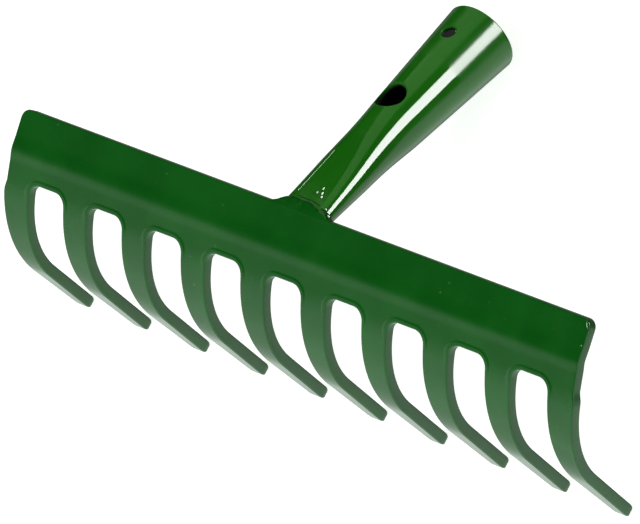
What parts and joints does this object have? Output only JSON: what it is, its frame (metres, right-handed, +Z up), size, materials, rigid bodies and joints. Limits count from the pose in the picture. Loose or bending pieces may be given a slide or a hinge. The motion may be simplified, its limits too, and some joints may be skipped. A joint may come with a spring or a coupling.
{
  "type": "garden rake head",
  "caption": "Garden rake head: stamped, curled steel comb with a tapered handle socket welded to its top edge, in enamel.",
  "frame": {"origin": "on the surface that the head lies on, under the middle of its bounding box", "axes": "+X along the comb, +Y from the teeth towards the socket's mouth, +Z up from the surface that the head lies on"},
  "size_m": [0.2644, 0.1502, 0.0749],
  "materials": {
    "comb_enamel": "gloss green enamel on pressed steel plate",
    "socket_enamel": "gloss green enamel on rolled steel sheet",
    "weld_enamel": "gloss green enamel over a rippled weld"
  },
  "bodies": {
    "root": {"comb_blade": "comb_enamel", "handle_socket": "socket_enamel", "weld_bead_top": "weld_enamel", "weld_bead_under": "weld_enamel"}
  },
  "joints": []
}
